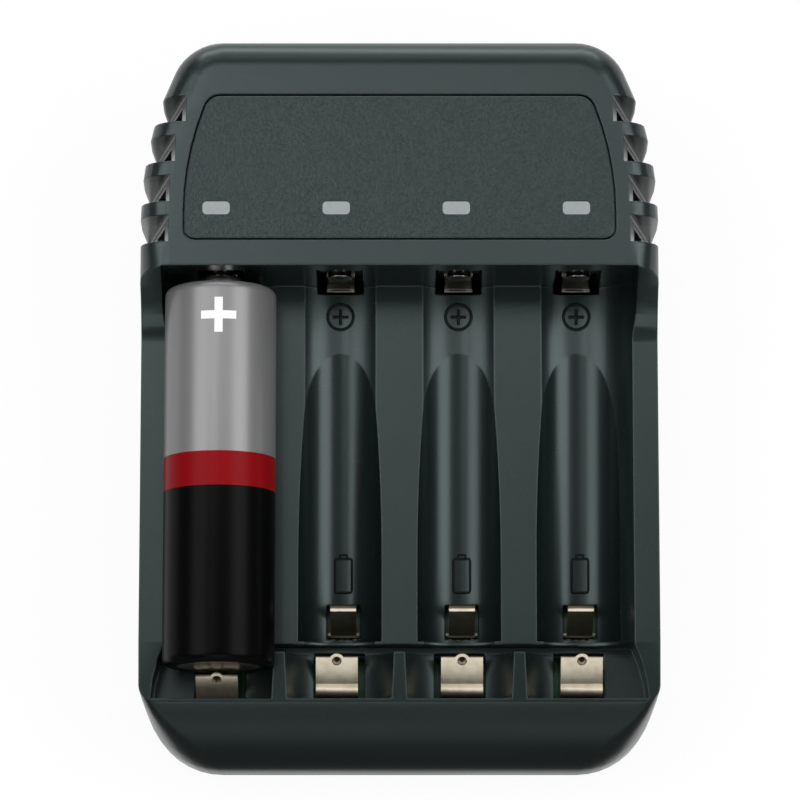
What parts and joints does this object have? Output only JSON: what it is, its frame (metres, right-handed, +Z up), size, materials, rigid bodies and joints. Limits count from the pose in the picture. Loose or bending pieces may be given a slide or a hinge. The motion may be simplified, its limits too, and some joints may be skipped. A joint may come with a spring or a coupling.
{
  "type": "battery charger",
  "caption": "Flat bay charger for AA and AAA rechargeable cells, with spring leaf contacts, an indicator panel over the head and one AA cell in its first bay.",
  "frame": {"origin": "middle of the back cover, on the surface that the charger lies on", "axes": "+X across the bays to the right, +Y from the tail to the head, +Z up out of the bays"},
  "size_m": [0.066, 0.0916, 0.0275],
  "materials": {
    "case": "fine moulded grain, satin",
    "panel": "fine speckled matte",
    "light_guide": "translucent, frosted top",
    "led_body": "moulded",
    "board": "solder resist over glass laminate",
    "spring_strip": "nickel plated",
    "inlet_shell": "tin plated",
    "chip_body": "moulded epoxy",
    "can": "drawn can",
    "screw_steel": "zinc plated",
    "cell_jacket": "printed shrink sleeve over a steel can"
  },
  "bodies": {
    "case": {"top_housing": "case", "back_cover": "case", "indicator_panel": "panel", "light_window_1": "light_guide", "light_window_2": "light_guide", "light_window_3": "light_guide", "light_window_4": "light_guide", "led_1": "led_body", "led_2": "led_body", "led_3": "led_body", "led_4": "led_body", "circuit_board": "board", "positive_contact_1": "spring_strip", "positive_contact_2": "spring_strip", "positive_contact_3": "spring_strip", "positive_contact_4": "spring_strip", "power_inlet": "inlet_shell", "controller_chip": "chip_body", "inductor": "chip_body", "capacitors": "can", "case_screws": "screw_steel", "aa_cell": "cell_jacket"},
    "aa_leaf_1": {"aa_leaf_1": "spring_strip"},
    "aa_leaf_2": {"aa_leaf_2": "spring_strip"},
    "aa_leaf_3": {"aa_leaf_3": "spring_strip"},
    "aa_leaf_4": {"aa_leaf_4": "spring_strip"},
    "aaa_leaf_1": {"aaa_leaf_1": "spring_strip"},
    "aaa_leaf_2": {"aaa_leaf_2": "spring_strip"},
    "aaa_leaf_3": {"aaa_leaf_3": "spring_strip"},
    "aaa_leaf_4": {"aaa_leaf_4": "spring_strip"}
  },
  "joints": [
    {"name": "aa_leaf_1_flex", "type": "hinge", "parent": "case", "child": "aa_leaf_1", "pos_m": [-0.02315, -0.0369, 0.005], "axis": [1, 0, 0], "range_deg": [0, 1.2], "stiffness_Nm_per_rad": 0.1, "springref_deg": -13.29},
    {"name": "aa_leaf_2_flex", "type": "hinge", "parent": "case", "child": "aa_leaf_2", "pos_m": [-0.00795, -0.0369, 0.005], "axis": [1, 0, 0], "range_deg": [0, 14.6], "stiffness_Nm_per_rad": 0.1},
    {"name": "aa_leaf_3_flex", "type": "hinge", "parent": "case", "child": "aa_leaf_3", "pos_m": [0.00795, -0.0369, 0.005], "axis": [1, 0, 0], "range_deg": [0, 14.6], "stiffness_Nm_per_rad": 0.1},
    {"name": "aa_leaf_4_flex", "type": "hinge", "parent": "case", "child": "aa_leaf_4", "pos_m": [0.02315, -0.0369, 0.005], "axis": [1, 0, 0], "range_deg": [0, 14.6], "stiffness_Nm_per_rad": 0.1},
    {"name": "aaa_leaf_1_flex", "type": "hinge", "parent": "case", "child": "aaa_leaf_1", "pos_m": [-0.0224, -0.0283, 0.005], "axis": [1, 0, 0], "range_deg": [0, 19], "stiffness_Nm_per_rad": 0.05},
    {"name": "aaa_leaf_2_flex", "type": "hinge", "parent": "case", "child": "aaa_leaf_2", "pos_m": [-0.0072, -0.0283, 0.005], "axis": [1, 0, 0], "range_deg": [0, 19], "stiffness_Nm_per_rad": 0.05},
    {"name": "aaa_leaf_3_flex", "type": "hinge", "parent": "case", "child": "aaa_leaf_3", "pos_m": [0.008, -0.0283, 0.005], "axis": [1, 0, 0], "range_deg": [0, 19], "stiffness_Nm_per_rad": 0.05},
    {"name": "aaa_leaf_4_flex", "type": "hinge", "parent": "case", "child": "aaa_leaf_4", "pos_m": [0.0232, -0.0283, 0.005], "axis": [1, 0, 0], "range_deg": [0, 19], "stiffness_Nm_per_rad": 0.05}
  ]
}
